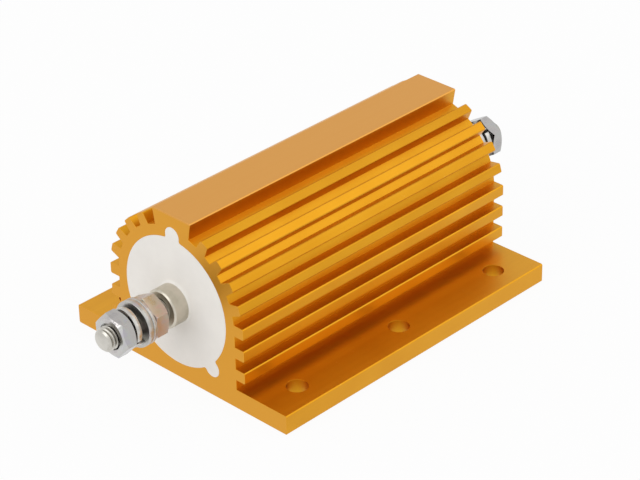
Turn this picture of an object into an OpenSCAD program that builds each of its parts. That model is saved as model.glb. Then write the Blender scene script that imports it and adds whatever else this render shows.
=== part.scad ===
// Aluminium housed power resistor: a finned, flanged extrusion holds a wound
// ceramic element in cement, with a threaded terminal stud at each end.
// X runs along the extrusion, Y across the flange, Z up from the base's underside.

/* [Housing] */
// Length of the extrusion
housing_l = 92.2; // [70:0.1:130]
// Width across the mounting flange
base_w = 72.5; // [66:0.1:90]
// Thickness of the mounting flange
base_t = 5.15; // [3:0.05:7]
// Diameter of the bore that holds the element
bore_d = 34; // [28:0.1:38]
// Metal left between the bore and the underside of the base
floor_t = 4.1; // [3:0.05:7]
// Thickness of the tube wall between the bore and the roots of the fins
tube_wall = 2.85; // [2:0.05:4]
// Small chamfer that breaks the long edges of the extrusion
edge_break = 0.25; // [0.1:0.05:0.4]

/* [Top land] */
// Width of the flat land along the top
land_w = 12.8; // [8:0.1:14]
// Width of the land where it meets the tube
land_foot_w = 11.3; // [7:0.1:13]
// Height of the land above the roots of the fins
land_rise = 3.65; // [2:0.05:6]

/* [Fins] */
// Depth of every fin from root to tip
fin_h = 2.95; // [1.5:0.05:5]
// Radial fins on each side of the land
fan_fins = 4; // [2:1:4]
// Angle from the top to the middle of the first radial fin
fan_first = 28.7; // [26:0.1:31]
// Angle between neighbouring radial fins
fan_pitch = 14.9; // [13:0.1:15.5]
// Width of a radial fin at its root
fan_root_w = 3.15; // [2.4:0.05:3.8]
// Width of a radial fin at its tip
fan_tip_w = 2.5; // [1.6:0.05:3]
// Level fins on each flank
side_fins = 3; // [1:1:3]
// Height of the top level fin's middle above the bore's centre
side_first = 0.35; // [-1:0.05:1]
// Distance between neighbouring level fins
side_pitch = 6.03; // [5:0.01:6.3]
// Thickness of a level fin
side_fin_t = 3; // [1.6:0.05:3.5]

/* [Keyways] */
// Radius of each round keyway that locks the cement in the bore
key_r = 2.3; // [1:0.05:3]
// Distance of the keyway's centre outside the bore's wall
key_out = 0.9; // [0:0.05:1.4]
// Radius that rounds the two corners where a keyway opens into the bore
key_soften = 0.6; // [0.2:0.05:0.8]
// Angle from the top to each of the two lower keyways
key_turn = 139; // [125:1:150]

/* [Mounting holes] */
// Diameter of the screw holes through the flange
hole_d = 5.4; // [4:0.1:7]
// Holes along each side
holes_per_side = 3; // [2:1:4]
// Distance from the end of the flange to the first hole
hole_from_end = 10.8; // [6:0.1:16]
// Distance from the long edge of the flange to the holes
hole_from_edge = 7.15; // [5:0.05:9]

/* [Element] */
// Diameter of the ceramic core
core_d = 20; // [14:0.1:23]
// Diameter of the hole through the core
core_hole_d = 8; // [3:0.1:10]
// Cement between the end of the housing and the core
end_fill = 12; // [7:0.1:18]
// Diameter of the resistance wire
wire_d = 0.8; // [0.4:0.05:1]
// Turns of resistance wire
wire_turns = 22; // [8:1:26]
// Thickness of the end caps
cap_t = 1.2; // [0.8:0.05:2]
// Length of core that each cap grips
cap_grip = 7; // [3:0.1:12]

/* [Terminals] */
// Diameter of the collar on each stud
collar_d = 10.1; // [8:0.1:13]
// Length of collar outside the housing
collar_out = 4.7; // [2:0.1:10]
// Chamfer round the collar's outer edge
collar_break = 0.45; // [0.1:0.05:0.8]
// Thread diameter of the studs
thread_d = 6; // [5:0.1:7]
// Bare thread between the collar and the inner nut
bare_thread = 1.7; // [0.5:0.1:6]
// Thread that stands out of the outer nut
free_thread = 2.5; // [1.5:0.1:10]
// Chamfer on the end of the thread
thread_break = 0.6; // [0.2:0.05:1]

/* [Nuts] */
// Width across the flats of the nuts
nut_af = 10; // [9:0.1:13]
// Thickness of the inner nuts
inner_nut_t = 4.6; // [2.5:0.1:6]
// Thickness of the outer nuts
outer_nut_t = 3.9; // [2.5:0.1:6]
// Depth of the countersink at each end of a nut's bore
nut_sink = 0.4; // [0.1:0.05:0.6]
// How far the front inner nut is turned about its stud
front_inner_turn = 26; // [0:1:59]
// How far the front outer nut is turned about its stud
front_outer_turn = 48; // [0:1:59]
// How far the rear inner nut is turned about its stud
rear_inner_turn = 8; // [0:1:59]
// How far the rear outer nut is turned about its stud
rear_outer_turn = 30; // [0:1:59]

/* [Washers] */
// Diameter of the flat washers
washer_d = 11.8; // [10:0.1:14]
// Gap between the thread and the hole of each washer
washer_gap = 0.2; // [0.1:0.05:0.4]
// Thickness of the washer against the inner nut
backing_t = 1; // [0.6:0.1:2]
// Thickness of the washer under the spring washer
flat_t = 1.6; // [0.8:0.1:2.5]
// Radial width of the spring washer's section
spring_w = 1.9; // [1.2:0.05:2.2]
// Thickness of the spring washer's section
spring_t = 1.55; // [1:0.05:2]
// Rise of the spring washer from one end of the split to the other
spring_rise = 1.6; // [0.5:0.1:1.9]
// Width of the split as an angle
spring_split = 9; // [4:1:20]
// How far the split is turned about the stud
spring_turn = -35; // [-180:1:180]

/* [Hidden] */
bore_z = floor_t + bore_d / 2;
root_r = bore_d / 2 + tube_wall;
tip_r = root_r + fin_h;
land_z = bore_z + root_r + land_rise;
bury = 0.4;
through = 1;
nip = 0.005;
key_ring_r = bore_d / 2 + key_out;
hole_y = base_w / 2 - hole_from_edge;
hole_step = (housing_l - 2 * hole_from_end) / (holes_per_side - 1);

core_l = housing_l - 2 * end_fill;
cap_r = core_d / 2 + cap_t;
cap_face = core_l / 2 + cap_t;
wire_sides = 6;
wire_steps = 12;
wire_lift = core_d / 2 * (1 / cos(180 / wire_steps) - 1);
winding_r = core_d / 2 + wire_lift + wire_d;
winding_l = core_l - 2 * cap_grip;

// Distances outwards from the end of the housing, in the order of assembly
inner_nut_at = collar_out + bare_thread;
backing_at = inner_nut_at + inner_nut_t;
flat_at = backing_at + backing_t;
spring_at = flat_at + flat_t;
outer_nut_at = spring_at + spring_t + spring_rise;
stud_out = outer_nut_at + outer_nut_t + free_thread;
stud_in = housing_l / 2 - cap_face;
washer_hole_r = thread_d / 2 + washer_gap;
spring_steps = 48;

$fn = 96;

// A cylinder or revolved outline whose own axis is turned to lie along X
module along_x() {
    rotate([0, 90, 0]) children();
}

// Drawn outwards from the end of the housing at +X
module at_rear() {
    translate([housing_l / 2, 0, bore_z]) children();
}

// The same, turned half round to the end at -X
module at_front() {
    translate([-housing_l / 2, 0, bore_z]) rotate([0, 0, 180]) children();
}

// Round bar along X from x0 to x1 with a bevelled outer end
module turned_bar(d, x0, x1, bevel) {
    translate([x0, 0, 0]) along_x() rotate_extrude() polygon([
        [0, 0], [d / 2, 0], [d / 2, x1 - x0 - bevel], [d / 2 - bevel, x1 - x0], [0, x1 - x0]
    ]);
}

// A section of [radius, distance along X] points swept round X as it moves along it
module helical_bar(section, from_deg, sweep_deg, rise, steps) {
    n = len(section);
    points = [for (i = [0:steps], p = section)
        let (a = from_deg + sweep_deg * i / steps)
        [p[1] + rise * i / steps, p[0] * cos(a), p[0] * sin(a)]];
    sides = [for (i = [0:steps - 1], j = [0:n - 1])
        let (a = i * n + j, b = i * n + (j + 1) % n)
        each [[a, b, b + n], [a, b + n, a + n]]];
    caps = [[for (j = [n - 1:-1:0]) j], [for (j = [0:n - 1]) steps * n + j]];
    polyhedron(points, concat(sides, caps), convexity = 8);
}

module fan_fin() {
    foot = sqrt(root_r * root_r - fan_root_w * fan_root_w / 4);
    half = [
        [fan_root_w / 2, foot - bury], [fan_root_w / 2, foot],
        [fan_tip_w / 2, tip_r - edge_break], [fan_tip_w / 2 - edge_break, tip_r]
    ];
    other_half = [for (i = [len(half) - 1:-1:0]) [-half[i][0], half[i][1]]];
    polygon(concat(half, other_half));
}

module side_fin() {
    polygon([
        [root_r - bury, -side_fin_t / 2], [tip_r - edge_break, -side_fin_t / 2],
        [tip_r, edge_break - side_fin_t / 2], [tip_r, side_fin_t / 2 - edge_break],
        [tip_r - edge_break, side_fin_t / 2], [root_r - bury, side_fin_t / 2]
    ]);
}

module top_land_half() {
    foot_z = bore_z + sqrt(root_r * root_r - land_foot_w * land_foot_w / 4);
    polygon([
        [0, foot_z - bury], [land_foot_w / 2, foot_z - bury], [land_foot_w / 2, foot_z],
        [land_w / 2, land_z - edge_break], [land_w / 2 - edge_break, land_z], [0, land_z]
    ]);
}

module flange_half() {
    polygon([
        [0, 0], [base_w / 2 - edge_break, 0], [base_w / 2, edge_break],
        [base_w / 2, base_t - edge_break], [base_w / 2 - edge_break, base_t], [0, base_t]
    ]);
}

module half_section() {
    flange_half();
    top_land_half();
    square([root_r, bore_z]);
    for (i = [0:fan_fins - 1])
        translate([0, bore_z]) rotate(-fan_first - i * fan_pitch) fan_fin();
    for (i = [0:side_fins - 1])
        translate([0, bore_z + side_first - i * side_pitch]) side_fin();
}

// Where a circle of this radius round the origin crosses one round the keyway's centre
function crossing(from_bore, from_key) =
    let (y = (from_bore * from_bore - from_key * from_key + key_ring_r * key_ring_r) / (2 * key_ring_r))
    [sqrt(from_bore * from_bore - y * y), y];

// What the rounding takes off the sharp corner between the bore and a keyway
module key_corner() {
    key_middle = [0, key_ring_r];
    sharp_corner = crossing(bore_d / 2, key_r);
    round_middle = crossing(bore_d / 2 + key_soften - nip, key_r + key_soften - nip);
    from_key = round_middle - key_middle;
    on_bore = round_middle * bore_d / 2 / norm(round_middle);
    on_key = key_middle + from_key * key_r / norm(from_key);
    difference() {
        polygon([[sharp_corner[0] / 2, sharp_corner[1]], on_bore, round_middle, on_key]);
        translate(round_middle) circle(r = key_soften);
    }
}

// The round bore with its three keyways
module bore_section() {
    translate([0, bore_z]) {
        circle(d = bore_d);
        for (turn = [0, key_turn, -key_turn]) rotate(turn) {
            translate([0, key_ring_r]) circle(r = key_r);
            for (side = [0, 1]) mirror([side, 0]) key_corner();
        }
    }
}

module housing() {
    color("goldenrod") difference() {
        rotate([90, 0, 90]) linear_extrude(housing_l, center = true) difference() {
            union() {
                translate([0, bore_z]) circle(r = root_r);
                half_section();
                mirror([1, 0]) half_section();
            }
            bore_section();
        }
        for (side = [-1, 1], i = [0:holes_per_side - 1])
            translate([i * hole_step + hole_from_end - housing_l / 2, side * hole_y, -through])
                cylinder(d = hole_d, h = base_t + 2 * through);
    }
}

module ceramic_core() {
    color("ivory") translate([0, 0, bore_z]) along_x() difference() {
        cylinder(d = core_d, h = core_l, center = true);
        cylinder(d = core_hole_d, h = core_l + 2 * through, center = true);
    }
}

module resistance_winding() {
    middle_r = winding_r - wire_d / 2;
    wire = [for (i = [0:wire_sides - 1])
        let (a = -i * 360 / wire_sides) [middle_r + wire_d / 2 * cos(a), wire_d / 2 * sin(a)]];
    end_x = winding_l / 2 - wire_d / 2 * sin(60);
    color("silver") translate([-end_x, 0, bore_z])
        helical_bar(wire, 0, 360 * wire_turns, 2 * end_x, wire_steps * wire_turns);
}

// A pressed cup over the end of the core
module end_cap() {
    color("darkgray") translate([-stud_in, 0, 0]) along_x() difference() {
        translate([0, 0, -cap_t - cap_grip]) cylinder(r = cap_r, h = cap_grip + cap_t);
        translate([0, 0, -cap_t - cap_grip - through]) cylinder(d = core_d, h = cap_grip + through);
    }
}

module front_end_cap() {
    at_front() end_cap();
}

module rear_end_cap() {
    at_rear() end_cap();
}

module cement_fill() {
    color("gainsboro") difference() {
        rotate([90, 0, 90]) linear_extrude(housing_l, center = true) bore_section();
        translate([0, 0, bore_z]) along_x() {
            cylinder(r = winding_r, h = winding_l, center = true);
            for (side = [-1, 1]) translate([0, 0, side * (cap_face + winding_l / 2) / 2])
                cylinder(r = cap_r, h = cap_face - winding_l / 2, center = true);
            cylinder(d = collar_d, h = housing_l + 2 * through, center = true);
        }
    }
}

module terminal_stud() {
    color("silver") {
        turned_bar(collar_d, -stud_in, collar_out, collar_break);
        turned_bar(thread_d, 0, stud_out, thread_break);
    }
}

module front_terminal_stud() {
    at_front() terminal_stud();
}

module rear_terminal_stud() {
    at_rear() terminal_stud();
}

// Hexagon nut, bevelled at 30 degrees round both faces
module nut(at, thick, turn) {
    face_r = nut_af / 2 * 0.95;
    corner_r = nut_af / 2 / cos(30);
    bevel_h = (corner_r - face_r) * tan(30);
    color("lightgray") translate([at, 0, 0]) rotate([turn, 0, 0]) along_x() difference() {
        intersection() {
            rotate(90) cylinder(r = corner_r, h = thick, $fn = 6);
            rotate_extrude() polygon([
                [0, 0], [face_r, 0], [corner_r, bevel_h], [corner_r, thick - bevel_h],
                [face_r, thick], [0, thick]
            ]);
        }
        translate([0, 0, -through]) cylinder(d = thread_d, h = thick + 2 * through);
        for (end = [0, 1]) translate([0, 0, end * thick]) mirror([0, 0, 1 - end])
            translate([0, 0, -nut_sink])
                cylinder(r1 = thread_d / 2, r2 = thread_d / 2 + nut_sink + through, h = nut_sink + through);
    }
}

module front_inner_nut() {
    at_front() nut(inner_nut_at, inner_nut_t, front_inner_turn);
}

module rear_inner_nut() {
    at_rear() nut(inner_nut_at, inner_nut_t, rear_inner_turn);
}

module front_outer_nut() {
    at_front() nut(outer_nut_at, outer_nut_t, front_outer_turn);
}

module rear_outer_nut() {
    at_rear() nut(outer_nut_at, outer_nut_t, rear_outer_turn);
}

module plain_washer(at, thick) {
    color("silver") translate([at, 0, 0]) along_x() difference() {
        cylinder(d = washer_d, h = thick);
        translate([0, 0, -through]) cylinder(r = washer_hole_r, h = thick + 2 * through);
    }
}

module front_backing_washer() {
    at_front() plain_washer(backing_at, backing_t);
}

module rear_backing_washer() {
    at_rear() plain_washer(backing_at, backing_t);
}

module front_flat_washer() {
    at_front() plain_washer(flat_at, flat_t);
}

module rear_flat_washer() {
    at_rear() plain_washer(flat_at, flat_t);
}

// Split ring that climbs away from the housing as a left-hand thread
module spring_washer() {
    r0 = washer_hole_r;
    r1 = washer_hole_r + spring_w;
    bar = [[r0, 0], [r0, spring_t], [r1, spring_t], [r1, 0]];
    color("gray") translate([spring_at, 0, 0])
        mirror([0, 0, 1]) helical_bar(bar, -spring_turn, 360 - spring_split, spring_rise, spring_steps);
}

module front_spring_washer() {
    at_front() spring_washer();
}

module rear_spring_washer() {
    at_rear() spring_washer();
}

housing();
ceramic_core();
resistance_winding();
front_end_cap();
rear_end_cap();
cement_fill();
front_terminal_stud();
rear_terminal_stud();
front_inner_nut();
rear_inner_nut();
front_backing_washer();
rear_backing_washer();
front_flat_washer();
rear_flat_washer();
front_spring_washer();
rear_spring_washer();
front_outer_nut();
rear_outer_nut();
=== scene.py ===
import math

import bmesh
import bpy
from mathutils import Matrix, Vector


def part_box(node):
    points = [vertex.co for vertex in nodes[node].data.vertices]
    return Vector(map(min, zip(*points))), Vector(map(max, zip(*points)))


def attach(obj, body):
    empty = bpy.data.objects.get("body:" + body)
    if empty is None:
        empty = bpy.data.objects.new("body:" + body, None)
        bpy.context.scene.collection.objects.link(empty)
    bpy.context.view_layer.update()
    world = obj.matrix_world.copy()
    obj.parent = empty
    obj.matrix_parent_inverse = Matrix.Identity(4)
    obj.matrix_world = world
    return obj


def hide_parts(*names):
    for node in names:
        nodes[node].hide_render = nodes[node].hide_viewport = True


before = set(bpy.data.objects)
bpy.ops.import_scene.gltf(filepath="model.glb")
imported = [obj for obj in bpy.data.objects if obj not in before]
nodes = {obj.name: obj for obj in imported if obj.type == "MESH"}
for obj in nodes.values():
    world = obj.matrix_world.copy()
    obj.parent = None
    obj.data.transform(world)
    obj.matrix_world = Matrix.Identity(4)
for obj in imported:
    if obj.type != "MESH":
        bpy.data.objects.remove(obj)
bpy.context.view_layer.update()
mm = 0.001


# ---------- small helpers, used by every piece

def pickOnly(obj):
    bpy.ops.object.select_all(action="DESELECT")
    obj.select_set(True)
    bpy.context.view_layer.objects.active = obj


def applyAll(obj):
    pickOnly(obj)
    for modifier in list(obj.modifiers):
        bpy.ops.object.modifier_apply(modifier=modifier.name)


def cutWith(obj, tool, operation):
    cut = obj.modifiers.new("cut", "BOOLEAN")
    cut.operation = operation
    cut.solver = "EXACT"
    cut.object = tool
    applyAll(obj)
    bpy.data.objects.remove(tool)


def roundEdges(obj, width, segments, angle):
    soft = obj.modifiers.new("soft", "BEVEL")
    soft.width = width
    soft.segments = segments
    soft.limit_method = "ANGLE"
    soft.angle_limit = math.radians(angle)
    soft.harden_normals = False
    applyAll(obj)


# smooth across the rounded edges, with the flat faces kept flat
def smoothEdges(obj, angle):
    pickOnly(obj)
    bpy.ops.object.shade_smooth_by_angle(angle=math.radians(angle))
    level = obj.modifiers.new("level", "WEIGHTED_NORMAL")
    level.keep_sharp = True
    applyAll(obj)


# a closed outline of (x, radius) points turned into a solid of revolution about X
def turnOnLathe(name, outline, steps):
    bpy.ops.object.select_all(action="DESELECT")
    bpy.ops.mesh.primitive_plane_add(size=mm)
    part = bpy.context.active_object
    part.name = name
    bpy.ops.object.mode_set(mode="EDIT")
    bpy.ops.mesh.select_all(action="SELECT")
    bpy.ops.mesh.merge(type="CENTER")
    here = Vector((0, 0, 0))
    for i, (x, radius) in enumerate(outline):
        there = Vector((x, 0, radius))
        if i == 0:
            bpy.ops.transform.translate(value=there - here)
        else:
            bpy.ops.mesh.extrude_region_move(TRANSFORM_OT_translate={"value": there - here})
        here = there
    bpy.ops.mesh.select_all(action="SELECT")
    if outline[0][1] > 0:
        bpy.ops.mesh.edge_face_add()
        bpy.ops.mesh.delete(type="ONLY_FACE")
        bpy.ops.mesh.select_all(action="SELECT")
    bpy.ops.mesh.spin(steps=steps, angle=math.tau, center=(0, 0, 0), axis=(1, 0, 0), use_auto_merge=True)
    bpy.ops.mesh.select_all(action="SELECT")
    bpy.ops.mesh.remove_doubles(threshold=1e-7)
    bpy.ops.mesh.dissolve_degenerate(threshold=1e-7)
    bpy.ops.mesh.normals_make_consistent(inside=False)
    bpy.ops.object.mode_set(mode="OBJECT")
    return part


# copies a piece drawn outwards along X from the end of the housing to one end of the resistor
def placeAt(master, end, name, node, angle=35, roll=0):
    piece = master.copy()
    piece.data = master.data.copy()
    bpy.context.collection.objects.link(piece)
    piece.name = name
    turn = Matrix.Rotation(math.pi if end == "front" else 0.0, 4, "Z")
    rolled = Matrix.Rotation(math.radians(roll), 4, "X")
    sign = -1 if end == "front" else 1
    piece.data.transform(Matrix.Translation((sign * endX, 0, axisZ)) @ turn @ rolled)
    smoothEdges(piece, angle)
    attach(piece, "root")
    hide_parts(node)
    return piece


def dropMaster(master):
    bpy.data.objects.remove(master)


def wear(obj, material):
    obj.data.materials.clear()
    obj.data.materials.append(material)


# ---------- where things are, read from the frame

housingLow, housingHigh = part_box("housing")
studLow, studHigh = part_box("rear_terminal_stud")
endX = housingHigh[0]
axisZ = (studLow[2] + studHigh[2]) / 2


def outwards(node):
    low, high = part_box("rear_" + node)
    return low[0] - endX, high[0] - endX


# ---------- materials

def newMaterial(name):
    material = bpy.data.materials.new(name)
    material.use_nodes = True
    tree = material.node_tree
    shader = tree.nodes["Principled BSDF"]
    where = tree.nodes.new("ShaderNodeTexCoord")
    return material, tree, shader, where.outputs["Object"]


def stretched(tree, where, scale):
    mapping = tree.nodes.new("ShaderNodeMapping")
    mapping.inputs["Scale"].default_value = scale
    tree.links.new(where, mapping.inputs["Vector"])
    return mapping.outputs["Vector"]


def noise(tree, where, scale, detail=4, rough=0.55):
    node = tree.nodes.new("ShaderNodeTexNoise")
    node.inputs["Scale"].default_value = scale
    node.inputs["Detail"].default_value = detail
    node.inputs["Roughness"].default_value = rough
    tree.links.new(where, node.inputs["Vector"])
    return node.outputs["Fac"]


def ramp(tree, value, stops):
    node = tree.nodes.new("ShaderNodeValToRGB")
    while len(node.color_ramp.elements) < len(stops):
        node.color_ramp.elements.new(0.5)
    for element, (place, colour) in zip(node.color_ramp.elements, stops):
        element.position = place
        element.color = (*colour, 1)
    tree.links.new(value, node.inputs["Fac"])
    return node.outputs["Color"]


def separate(tree, vector):
    node = tree.nodes.new("ShaderNodeSeparateXYZ")
    tree.links.new(vector, node.inputs["Vector"])
    return node.outputs


def span(tree, value, low, high, start=0.0, end=1.0):
    node = tree.nodes.new("ShaderNodeMapRange")
    node.inputs["From Min"].default_value = start
    node.inputs["From Max"].default_value = end
    node.inputs["To Min"].default_value = low
    node.inputs["To Max"].default_value = high
    tree.links.new(value, node.inputs["Value"])
    return node.outputs["Result"]


def bump(tree, height, strength, distance, under=None):
    node = tree.nodes.new("ShaderNodeBump")
    node.inputs["Strength"].default_value = strength
    node.inputs["Distance"].default_value = distance
    tree.links.new(height, node.inputs["Height"])
    if under is not None:
        tree.links.new(under, node.inputs["Normal"])
    return node.outputs["Normal"]


def mixColour(tree, factor, first, second, blend="MIX"):
    node = tree.nodes.new("ShaderNodeMix")
    node.data_type = "RGBA"
    node.blend_type = blend
    sockets = [socket for socket in node.inputs if socket.enabled]
    for socket, value in zip(sockets, (factor, first, second)):
        if hasattr(value, "links"):
            tree.links.new(value, socket)
        else:
            socket.default_value = (*value, 1) if isinstance(value, tuple) else value
    return next(socket for socket in node.outputs if socket.enabled)


# 1 on faces square to X, 0 on faces along it
def endwiseShare(tree):
    facing = tree.nodes.new("ShaderNodeNewGeometry")
    size = tree.nodes.new("ShaderNodeMath")
    size.operation = "ABSOLUTE"
    tree.links.new(separate(tree, facing.outputs["True Normal"])["X"], size.inputs[0])
    return size.outputs[0]


anodise = {
    "deep": (0.69, 0.305, 0.009),
    "light": (0.75, 0.355, 0.014),
    "streakDeep": (0.62, 0.26, 0.006),
    "streakLight": (0.8, 0.4, 0.02),
    "sawn": (0.72, 0.335, 0.026),
    "dustAndSheen": (0.735, 0.352, 0.068),
    "dustAndSheenAbove": 44.3 * mm,
    "speck": (0.78, 0.42, 0.06),
    "roughness": (0.36, 0.44),
    "coat": 0.1,
    "coatRoughness": 0.3,
}


def makeAnodised():
    material, tree, shader, where = newMaterial("goldAnodise")
    drawn = noise(tree, stretched(tree, where, (14, 900, 900)), 1.0, 5)
    cloudy = noise(tree, where, 60, 3)
    grain = noise(tree, where, 3500, 3)
    base = ramp(tree, cloudy, [(0.3, anodise["deep"]), (0.7, anodise["light"])])
    streaks = ramp(tree, drawn, [(0.3, anodise["streakDeep"]), (0.7, anodise["streakLight"])])
    base = mixColour(tree, 0.15, base, streaks)
    base = mixColour(tree, span(tree, endwiseShare(tree), 0, 1, 0.9, 0.99), base, anodise["sawn"])
    # the top land is paler: dust, and in part a painted sheen standing in for the sky reflected there
    height = separate(tree, where)["Z"]
    high = span(tree, height, 0, 1, anodise["dustAndSheenAbove"] - 0.1 * mm, anodise["dustAndSheenAbove"] + 0.1 * mm)
    base = mixColour(tree, high, base, anodise["dustAndSheen"])
    specks = ramp(tree, noise(tree, where, 1500, 1), [(0.77, (0, 0, 0)), (0.81, (1, 1, 1))])
    base = mixColour(tree, specks, base, anodise["speck"])
    tree.links.new(base, shader.inputs["Base Color"])
    tree.links.new(span(tree, drawn, *anodise["roughness"]), shader.inputs["Roughness"])
    lines = bump(tree, drawn, 0.1, 0.00004)
    tree.links.new(bump(tree, grain, 0.12, 0.00002, lines), shader.inputs["Normal"])
    shader.inputs["Metallic"].default_value = 1.0
    shader.inputs["Coat Weight"].default_value = anodise["coat"]
    shader.inputs["Coat Roughness"].default_value = anodise["coatRoughness"]
    return material


cement = {"pale": (0.872, 0.842, 0.794), "grey": (0.82, 0.79, 0.745), "rough": 0.62}


def makeCement():
    material, tree, shader, where = newMaterial("cement")
    cloudy = noise(tree, where, 130, 4)
    tree.links.new(ramp(tree, cloudy, [(0.3, cement["grey"]), (0.65, cement["pale"])]), shader.inputs["Base Color"])
    grain = noise(tree, where, 2600, 4)
    swell = noise(tree, where, 220, 2)
    tree.links.new(bump(tree, grain, 0.1, 0.00005, bump(tree, swell, 0.2, 0.0002)), shader.inputs["Normal"])
    tree.links.new(span(tree, cloudy, cement["rough"] - 0.1, cement["rough"] + 0.1), shader.inputs["Roughness"])
    return material


# plated steel: a thin film of several tints, turning marks, painted light brightening the faces square to X, and
# painted shade darkening the recesses
# painted shade colours for recesses and gaps between parts, and how far the darkening reaches
paintedRecessShade = {"deep": (0.07, 0.06, 0.058), "halfShade": (0.22, 0.2, 0.18), "reach": 1.5 * mm}


def makePlating(name, film, paintedFaceLight, roughness, marks, turned):
    material, tree, shader, where = newMaterial(name)
    lines = noise(tree, stretched(tree, where, turned), 1.0, 3)
    cloudy = noise(tree, where, 330, 2)
    stops = [(0.34 + 0.32 * i / (len(film) - 1), tint) for i, tint in enumerate(film)]
    plate = ramp(tree, cloudy, stops)
    # painted light: faces square to X are brightened over the flats, as if lit more strongly
    faceLit = tree.nodes.new("ShaderNodeVectorMath")
    faceLit.operation = "SCALE"
    tree.links.new(plate, faceLit.inputs[0])
    tree.links.new(span(tree, endwiseShare(tree), 1.0, paintedFaceLight, 0.6, 0.95), faceLit.inputs["Scale"])
    # painted shade: ambient occlusion darkens the base colour in recesses and in the gaps between parts
    recess = tree.nodes.new("ShaderNodeAmbientOcclusion")
    recess.inputs["Distance"].default_value = paintedRecessShade["reach"]
    recess.samples = 8
    recessShade = ramp(tree, recess.outputs["AO"], [(0.08, paintedRecessShade["deep"]), (0.24, paintedRecessShade["halfShade"]), (0.45, (1, 1, 1))])
    tree.links.new(mixColour(tree, 1.0, faceLit.outputs[0], recessShade, "MULTIPLY"), shader.inputs["Base Color"])
    tree.links.new(span(tree, cloudy, *roughness), shader.inputs["Roughness"])
    tree.links.new(bump(tree, lines, marks, 0.00003), shader.inputs["Normal"])
    shader.inputs["Metallic"].default_value = 1.0
    return material


def makeCeramic():
    material, tree, shader, where = newMaterial("coreCeramic")
    speck = noise(tree, where, 900, 3)
    tree.links.new(ramp(tree, speck, [(0.3, (0.7, 0.68, 0.62)), (0.7, (0.86, 0.84, 0.78))]), shader.inputs["Base Color"])
    tree.links.new(bump(tree, speck, 0.15, 0.00005), shader.inputs["Normal"])
    shader.inputs["Roughness"].default_value = 0.7
    return material


gold = makeAnodised()
cementWhite = makeCement()
ceramic = makeCeramic()
roundMarks = (2600, 40, 40)
plainMarks = (700, 700, 700)
collarFilm = [(0.54, 0.5, 0.41), (0.61, 0.57, 0.48), (0.66, 0.61, 0.52)]
threadFilm = [(0.54, 0.52, 0.47), (0.6, 0.58, 0.53), (0.66, 0.64, 0.59)]
nutFilm = [(0.46, 0.445, 0.475), (0.47, 0.475, 0.455), (0.48, 0.46, 0.45), (0.43, 0.415, 0.41)]
innerNutFilm = [(0.5, 0.46, 0.34), (0.54, 0.5, 0.41), (0.55, 0.51, 0.44), (0.6, 0.48, 0.42), (0.57, 0.5, 0.5)]
washerFilm = [(0.5, 0.46, 0.48), (0.48, 0.48, 0.45), (0.58, 0.56, 0.54), (0.5, 0.45, 0.45)]
springFilm = [(0.46, 0.46, 0.45), (0.62, 0.6, 0.56), (0.5, 0.49, 0.47)]
steelFilm = [(0.42, 0.4, 0.38), (0.56, 0.54, 0.52)]
# the third number is the painted light: how much brighter faces square to X are made than the flats
collarMetal = makePlating("collarNickel", collarFilm, 1.0, (0.3, 0.42), 0.25, roundMarks)
threadMetal = makePlating("threadNickel", threadFilm, 1.0, (0.24, 0.36), 0.12, roundMarks)
nutMetal = makePlating("nutNickel", nutFilm, 1.22, (0.2, 0.3), 0.14, plainMarks)
innerNutMetal = makePlating("innerNutNickel", innerNutFilm, 1.1, (0.24, 0.34), 0.14, plainMarks)
washerMetal = makePlating("washerNickel", washerFilm, 1.05, (0.27, 0.38), 0.14, plainMarks)
springMetal = makePlating("springZinc", springFilm, 1.0, (0.24, 0.34), 0.5, roundMarks)
wireMetal = makePlating("resistanceWire", steelFilm, 1.0, (0.3, 0.45), 0.1, plainMarks)
capMetal = makePlating("capSteel", steelFilm, 1.0, (0.3, 0.45), 0.1, plainMarks)
print("materials made")


# ---------- housing: the extrusion with its long edges and sawn ends eased

housing = {"edge": 0.07 * mm, "segments": 2}


def makeHousing():
    shell = nodes["housing"].copy()
    shell.data = nodes["housing"].data.copy()
    shell.name = "finnedHousing"
    bpy.context.collection.objects.link(shell)
    pickOnly(shell)
    bpy.ops.object.mode_set(mode="EDIT")
    bpy.ops.mesh.select_all(action="SELECT")
    bpy.ops.mesh.remove_doubles(threshold=1e-6)
    bpy.ops.mesh.dissolve_limited(angle_limit=math.radians(1.0))
    bpy.ops.object.mode_set(mode="OBJECT")
    roundEdges(shell, housing["edge"], housing["segments"], 25)
    smoothEdges(shell, 35)
    wear(shell, gold)
    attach(shell, "root")
    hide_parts("housing")
    return shell


makeHousing()
print("housing made")


stud = {
    "radius": 3.0 * mm,
    "pitch": 1.0 * mm,
    "depth": 0.6 * mm,
    "steps": 48,
    "tipBevel": 0.6 * mm,
    "collarRadius": 5.05 * mm,
    "collarOut": 4.7 * mm,
    "collarBevel": 0.45 * mm,
}


# ---------- cement: a soft shoulder at the bore, and a little that has crept up each collar

fill = {
    "shoulder": 0.32 * mm,
    "creepOut": 0.45 * mm,
    "creepWide": 0.8 * mm,
}


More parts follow.
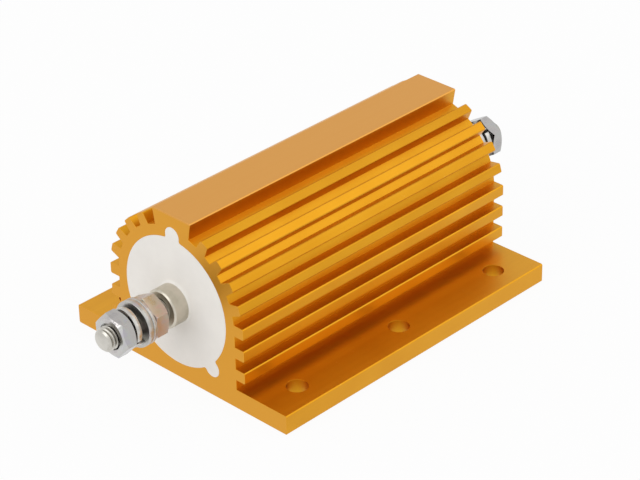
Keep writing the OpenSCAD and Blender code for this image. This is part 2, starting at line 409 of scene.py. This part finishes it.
def makeCementFill():
    cementMass = nodes["cement_fill"].copy()
    cementMass.data = nodes["cement_fill"].data.copy()
    cementMass.name = "cementFilling"
    bpy.context.collection.objects.link(cementMass)
    pickOnly(cementMass)
    bpy.ops.object.mode_set(mode="EDIT")
    bpy.ops.mesh.select_all(action="SELECT")
    bpy.ops.mesh.remove_doubles(threshold=1e-6)
    bpy.ops.mesh.dissolve_limited(angle_limit=math.radians(1.0))
    bpy.ops.object.mode_set(mode="OBJECT")
    roundEdges(cementMass, fill["shoulder"], 4, 40)
    collar = stud["collarRadius"]
    out = fill["creepOut"]
    wide = fill["creepWide"]
    creep = turnOnLathe("creep", [
        (-wide, collar), (out, collar), (out * 0.7, collar + wide * 0.06), (out * 0.3, collar + wide * 0.3),
        (out * 0.08, collar + wide * 0.65), (0, collar + wide), (-wide, collar + wide)
    ], 96)
    for side in (-1, 1):
        ring = creep.copy()
        ring.data = creep.data.copy()
        bpy.context.collection.objects.link(ring)
        turn = Matrix.Rotation(math.pi if side < 0 else 0.0, 4, "Z")
        ring.data.transform(Matrix.Translation((side * endX, 0, axisZ)) @ turn)
        cutWith(cementMass, ring, "UNION")
    bpy.data.objects.remove(creep)
    smoothEdges(cementMass, 35)
    wear(cementMass, cementWhite)
    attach(cementMass, "root")
    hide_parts("cement_fill")


makeCementFill()
print("cement made")


# ---------- studs: a collar and a rolled thread

def makeThread(start, end):
    pitch = stud["pitch"]
    crest = stud["radius"]
    root = crest - stud["depth"]
    tooth = [(0.0, root), (0.1, root), (0.42, crest), (0.58, crest), (0.9, root), (1.0, root)]
    bpy.ops.object.select_all(action="DESELECT")
    bpy.ops.mesh.primitive_plane_add(size=mm)
    thread = bpy.context.active_object
    bpy.ops.object.mode_set(mode="EDIT")
    bpy.ops.mesh.select_all(action="SELECT")
    bpy.ops.mesh.merge(type="CENTER")
    here = Vector((0, 0, 0))
    for i, (along, radius) in enumerate(tooth):
        there = Vector((start - pitch + along * pitch, 0, radius))
        if i == 0:
            bpy.ops.transform.translate(value=there - here)
        else:
            bpy.ops.mesh.extrude_region_move(TRANSFORM_OT_translate={"value": there - here})
        here = there
    bpy.ops.object.mode_set(mode="OBJECT")
    winding = thread.modifiers.new("thread", "SCREW")
    winding.axis = "X"
    winding.angle = math.tau
    winding.screw_offset = pitch
    winding.steps = stud["steps"]
    winding.render_steps = stud["steps"]
    winding.iterations = int((end - start) / pitch) + 3
    winding.use_merge_vertices = True
    winding.merge_threshold = 1e-6
    applyAll(thread)
    bpy.ops.object.mode_set(mode="EDIT")
    bpy.ops.mesh.select_all(action="SELECT")
    bpy.ops.mesh.remove_doubles(threshold=1e-6)
    for place, facing in ((start, -1), (end, 1)):
        bpy.ops.mesh.select_all(action="SELECT")
        bpy.ops.mesh.bisect(plane_co=(place, 0, 0), plane_no=(facing, 0, 0), use_fill=True,
                            clear_outer=True, threshold=1e-8)
    bpy.ops.mesh.select_all(action="SELECT")
    bpy.ops.mesh.normals_make_consistent(inside=False)
    bpy.ops.object.mode_set(mode="OBJECT")
    return thread


def makeStud():
    inner, outer = outwards("terminal_stud")
    thread = makeThread(0.5 * mm, outer + 0.3 * mm)
    r = stud["radius"]
    b = stud["tipBevel"]
    envelope = turnOnLathe("envelope", [(0, 0), (0, r + b), (outer - b, r), (outer, r - b), (outer, 0)], 96)
    cutWith(thread, envelope, "INTERSECT")
    c = stud["collarRadius"]
    e = stud["collarBevel"]
    collar = turnOnLathe("collar", [
        (inner, 0), (inner, c), (stud["collarOut"] - e, c), (stud["collarOut"], c - e), (stud["collarOut"], 0)
    ], 128)
    roundEdges(collar, 0.08 * mm, 2, 30)
    wear(collar, collarMetal)
    wear(thread, threadMetal)
    bpy.ops.object.select_all(action="DESELECT")
    collar.select_set(True)
    thread.select_set(True)
    bpy.context.view_layer.objects.active = thread
    bpy.ops.object.join()
    return thread


studMaster = makeStud()
for end in ("front", "rear"):
    placeAt(studMaster, end, end + "Stud", end + "_terminal_stud", 30)
dropMaster(studMaster)
print("studs made")


# ---------- nuts

nut = {
    "acrossFlats": 10.0 * mm,
    "bevelShare": 0.91,
    "boreRadius": 3.02 * mm,
    "sink": 0.4 * mm,
    "edge": 0.07 * mm,
    "innerTurn": {"front": 26, "rear": 8},
    "outerTurn": {"front": 48, "rear": 30},
}


def makeNut(start, end):
    flat = nut["acrossFlats"] / 2
    corner = flat / math.cos(math.radians(30))
    face = flat * nut["bevelShare"]
    rise = (corner - face) * math.tan(math.radians(30))
    thick = end - start
    bpy.ops.object.select_all(action="DESELECT")
    bpy.ops.mesh.primitive_cylinder_add(vertices=6, radius=corner, depth=thick)
    body = bpy.context.active_object
    lay = Matrix.Rotation(math.radians(90), 4, "Y")
    body.data.transform(Matrix.Translation(((start + end) / 2, 0, 0)) @ lay)
    over = corner * 1.02
    overRise = rise + (over - corner) * math.tan(math.radians(30))
    dome = turnOnLathe("dome", [
        (start, 0), (start, face), (start + overRise, over), (end - overRise, over), (end, face), (end, 0)
    ], 120)
    cutWith(body, dome, "INTERSECT")
    hole = nut["boreRadius"]
    sink = nut["sink"]
    drill = turnOnLathe("drill", [
        (start - mm, 0), (start - mm, hole + sink + mm), (start + sink, hole), (end - sink, hole),
        (end + mm, hole + sink + mm), (end + mm, 0)
    ], 96)
    cutWith(body, drill, "DIFFERENCE")
    roundEdges(body, nut["edge"], 2, 25)
    return body


for kind, metal in (("inner", innerNutMetal), ("outer", nutMetal)):
    start, finish = outwards(kind + "_nut")
    nutMaster = makeNut(start, finish)
    wear(nutMaster, metal)
    for end in ("front", "rear"):
        placeAt(nutMaster, end, end + kind.capitalize() + "Nut", end + "_" + kind + "_nut",
                32, nut[kind + "Turn"][end])
    dropMaster(nutMaster)
print("nuts made")


# ---------- washers

washer = {"radius": 5.9 * mm, "holeRadius": 3.2 * mm, "edge": 0.18 * mm}


def makeWasher(start, end):
    bpy.ops.object.select_all(action="DESELECT")
    bpy.ops.mesh.primitive_cylinder_add(vertices=128, radius=washer["radius"], depth=end - start)
    ring = bpy.context.active_object
    ring.data.transform(Matrix.Translation(((start + end) / 2, 0, 0)) @ Matrix.Rotation(math.radians(90), 4, "Y"))
    bpy.ops.object.mode_set(mode="EDIT")
    bpy.ops.mesh.select_mode(type="FACE")
    bpy.ops.mesh.select_all(action="DESELECT")
    shape = bmesh.from_edit_mesh(ring.data)
    for side in shape.faces:
        side.select = abs(side.normal.x) > 0.9
    bmesh.update_edit_mesh(ring.data)
    bpy.ops.mesh.inset(thickness=washer["radius"] - washer["holeRadius"], use_even_offset=False)
    bpy.ops.mesh.bridge_edge_loops()
    bpy.ops.mesh.select_all(action="SELECT")
    bpy.ops.mesh.normals_make_consistent(inside=False)
    bpy.ops.object.mode_set(mode="OBJECT")
    roundEdges(ring, washer["edge"], 3, 40)
    return ring


for kind in ("backing", "flat"):
    start, finish = outwards(kind + "_washer")
    washerMaster = makeWasher(start, finish)
    wear(washerMaster, washerMetal)
    for end in ("front", "rear"):
        placeAt(washerMaster, end, end + kind.capitalize() + "Washer", end + "_" + kind + "_washer", 30)
    dropMaster(washerMaster)
print("flat washers made")


# ---------- spring washers: a square bar spun round and lifted into one turn of a left-hand spiral

spring = {
    "holeRadius": 3.2 * mm,
    "width": 1.9 * mm,
    "thick": 1.55 * mm,
    "split": 9,
    "turn": -35,
    "roll": {"front": 0, "rear": 150},
    "edge": 0.16 * mm,
    "steps": 96,
}


def makeSpring(start, end):
    rise = end - start - spring["thick"]
    bpy.ops.object.select_all(action="DESELECT")
    bpy.ops.mesh.primitive_plane_add(size=1)
    bar = bpy.context.active_object
    middle = spring["holeRadius"] + spring["width"] / 2
    lay = Matrix.Translation((spring["thick"] / 2, 0, middle)) @ Matrix.Rotation(math.radians(90), 4, "X")
    size = Matrix.Diagonal((spring["thick"], spring["width"], 1, 1))
    bar.data.transform(lay @ size)
    bpy.ops.object.mode_set(mode="EDIT")
    bpy.ops.mesh.select_all(action="SELECT")
    bpy.ops.mesh.spin(steps=spring["steps"], angle=math.radians(360 - spring["split"]), center=(0, 0, 0), axis=(1, 0, 0))
    bpy.ops.mesh.select_all(action="SELECT")
    bpy.ops.mesh.normals_make_consistent(inside=False)
    bpy.ops.object.mode_set(mode="OBJECT")
    roundEdges(bar, spring["edge"], 2, 40)
    whole = math.radians(360 - spring["split"])
    for vertex in bar.data.vertices:
        swept = (-math.atan2(vertex.co.y, vertex.co.z)) % math.tau
        if swept > whole + (math.tau - whole) / 2:
            swept -= math.tau
        vertex.co.x += start + rise * (1 - swept / whole)
    turn = Matrix.Rotation(math.radians(spring["turn"] - 90) - whole, 4, "X")
    bar.data.transform(turn)
    return bar


start, finish = outwards("spring_washer")
springMaster = makeSpring(start, finish)
wear(springMaster, springMetal)
for end in ("front", "rear"):
    placeAt(springMaster, end, end + "SpringWasher", end + "_spring_washer", 30,
            spring["roll"][end])
dropMaster(springMaster)
print("spring washers made")


# ---------- the pieces hidden in the cement keep their CAD form

for name, material in (("ceramic_core", ceramic), ("resistance_winding", wireMetal),
                       ("front_end_cap", capMetal), ("rear_end_cap", capMetal)):
    wear(nodes[name], material)


# ---------- floor, world and lights

lights = {"world": 0.8, "glossyWorld": 0.9, "glossyFloor": 0.92, "seenFloor": 0.94}


def makeStage():
    bpy.ops.object.select_all(action="DESELECT")
    bpy.ops.mesh.primitive_plane_add(size=8)
    floor = bpy.context.active_object
    floor.name = "floor"
    material = bpy.data.materials.new("floorWhite")
    material.use_nodes = True
    tree = material.node_tree
    tree.nodes.clear()
    out = tree.nodes.new("ShaderNodeOutputMaterial")
    seen = tree.nodes.new("ShaderNodeLightPath")
    paint = tree.nodes.new("ShaderNodeBsdfDiffuse")
    paint.inputs["Color"].default_value = (0.8, 0.8, 0.8, 1)
    glow = tree.nodes.new("ShaderNodeEmission")
    glow.inputs["Strength"].default_value = 1.0
    mirrored = tree.nodes.new("ShaderNodeMath")
    mirrored.operation = "ADD"
    straight = tree.nodes.new("ShaderNodeMath")
    straight.operation = "MULTIPLY"
    straight.inputs[1].default_value = lights["seenFloor"]
    share = tree.nodes.new("ShaderNodeMath")
    share.operation = "MULTIPLY_ADD"
    share.inputs[1].default_value = lights["glossyFloor"]
    blend = tree.nodes.new("ShaderNodeMixShader")
    tree.links.new(seen.outputs["Is Glossy Ray"], mirrored.inputs[0])
    tree.links.new(seen.outputs["Is Transmission Ray"], mirrored.inputs[1])
    tree.links.new(seen.outputs["Is Camera Ray"], straight.inputs[0])
    tree.links.new(mirrored.outputs[0], share.inputs[0])
    tree.links.new(straight.outputs[0], share.inputs[2])
    tree.links.new(share.outputs[0], blend.inputs["Fac"])
    tree.links.new(paint.outputs[0], blend.inputs[1])
    tree.links.new(glow.outputs[0], blend.inputs[2])
    tree.links.new(blend.outputs[0], out.inputs["Surface"])
    floor.data.materials.append(material)


def makeWorld():
    world = bpy.data.worlds.new("studio")
    bpy.context.scene.world = world
    world.use_nodes = True
    tree = world.node_tree
    tree.nodes.clear()
    out = tree.nodes.new("ShaderNodeOutputWorld")
    seen = tree.nodes.new("ShaderNodeLightPath")
    soft = tree.nodes.new("ShaderNodeBackground")
    soft.inputs["Strength"].default_value = lights["world"]
    mirrored = tree.nodes.new("ShaderNodeBackground")
    mirrored.inputs["Strength"].default_value = lights["glossyWorld"]
    white = tree.nodes.new("ShaderNodeBackground")
    white.inputs["Strength"].default_value = 1.0
    first = tree.nodes.new("ShaderNodeMixShader")
    second = tree.nodes.new("ShaderNodeMixShader")
    tree.links.new(seen.outputs["Is Glossy Ray"], first.inputs["Fac"])
    tree.links.new(soft.outputs[0], first.inputs[1])
    tree.links.new(mirrored.outputs[0], first.inputs[2])
    tree.links.new(seen.outputs["Is Camera Ray"], second.inputs["Fac"])
    tree.links.new(first.outputs[0], second.inputs[1])
    tree.links.new(white.outputs[0], second.inputs[2])
    tree.links.new(second.outputs[0], out.inputs["Surface"])
    for node in (soft, mirrored, white):
        node.inputs["Color"].default_value = (1, 1, 1, 1)


def softbox(name, place, target, size, watts):
    data = bpy.data.lights.new(name, "AREA")
    data.shape = "SQUARE"
    data.size = size
    data.energy = watts
    lamp = bpy.data.objects.new(name, data)
    bpy.context.collection.objects.link(lamp)
    lamp.location = place
    lamp.rotation_euler = (Vector(target) - Vector(place)).to_track_quat("-Z", "Y").to_euler()


makeStage()
makeWorld()
middle = (0, 0, axisZ)
softbox("keyRight", (0.355, -0.4, 0.47), middle, 0.55, 0.54)
softbox("fillLeft", (-1.1, 0.15, 0.55), middle, 0.9, 3.6)
print("stage and lights made")


# ---------- camera

camera = {
    "azimuth": -45.426,
    "elevation": 30.511,
    "roll": -1.15,
    "place": (-0.3736, -0.3709, 0.3281),
    "lens": 138.73,
}


def makeCamera():
    azimuth = math.radians(camera["azimuth"])
    elevation = math.radians(camera["elevation"])
    roll = math.radians(camera["roll"])
    back = Vector((math.sin(azimuth) * math.cos(elevation), -math.cos(azimuth) * math.cos(elevation), math.sin(elevation)))
    level = Vector((math.cos(azimuth), math.sin(azimuth), 0))
    up = back.cross(level)
    right = level * math.cos(roll) + up * math.sin(roll)
    top = up * math.cos(roll) - level * math.sin(roll)
    data = bpy.data.cameras.new("view")
    data.lens = camera["lens"]
    data.sensor_width = 36
    view = bpy.data.objects.new("view", data)
    bpy.context.collection.objects.link(view)
    turn = Matrix((right, top, back)).transposed().to_4x4()
    view.matrix_world = Matrix.Translation(camera["place"]) @ turn
    bpy.context.scene.camera = view


makeCamera()
bpy.context.scene.view_settings.view_transform = "Standard"
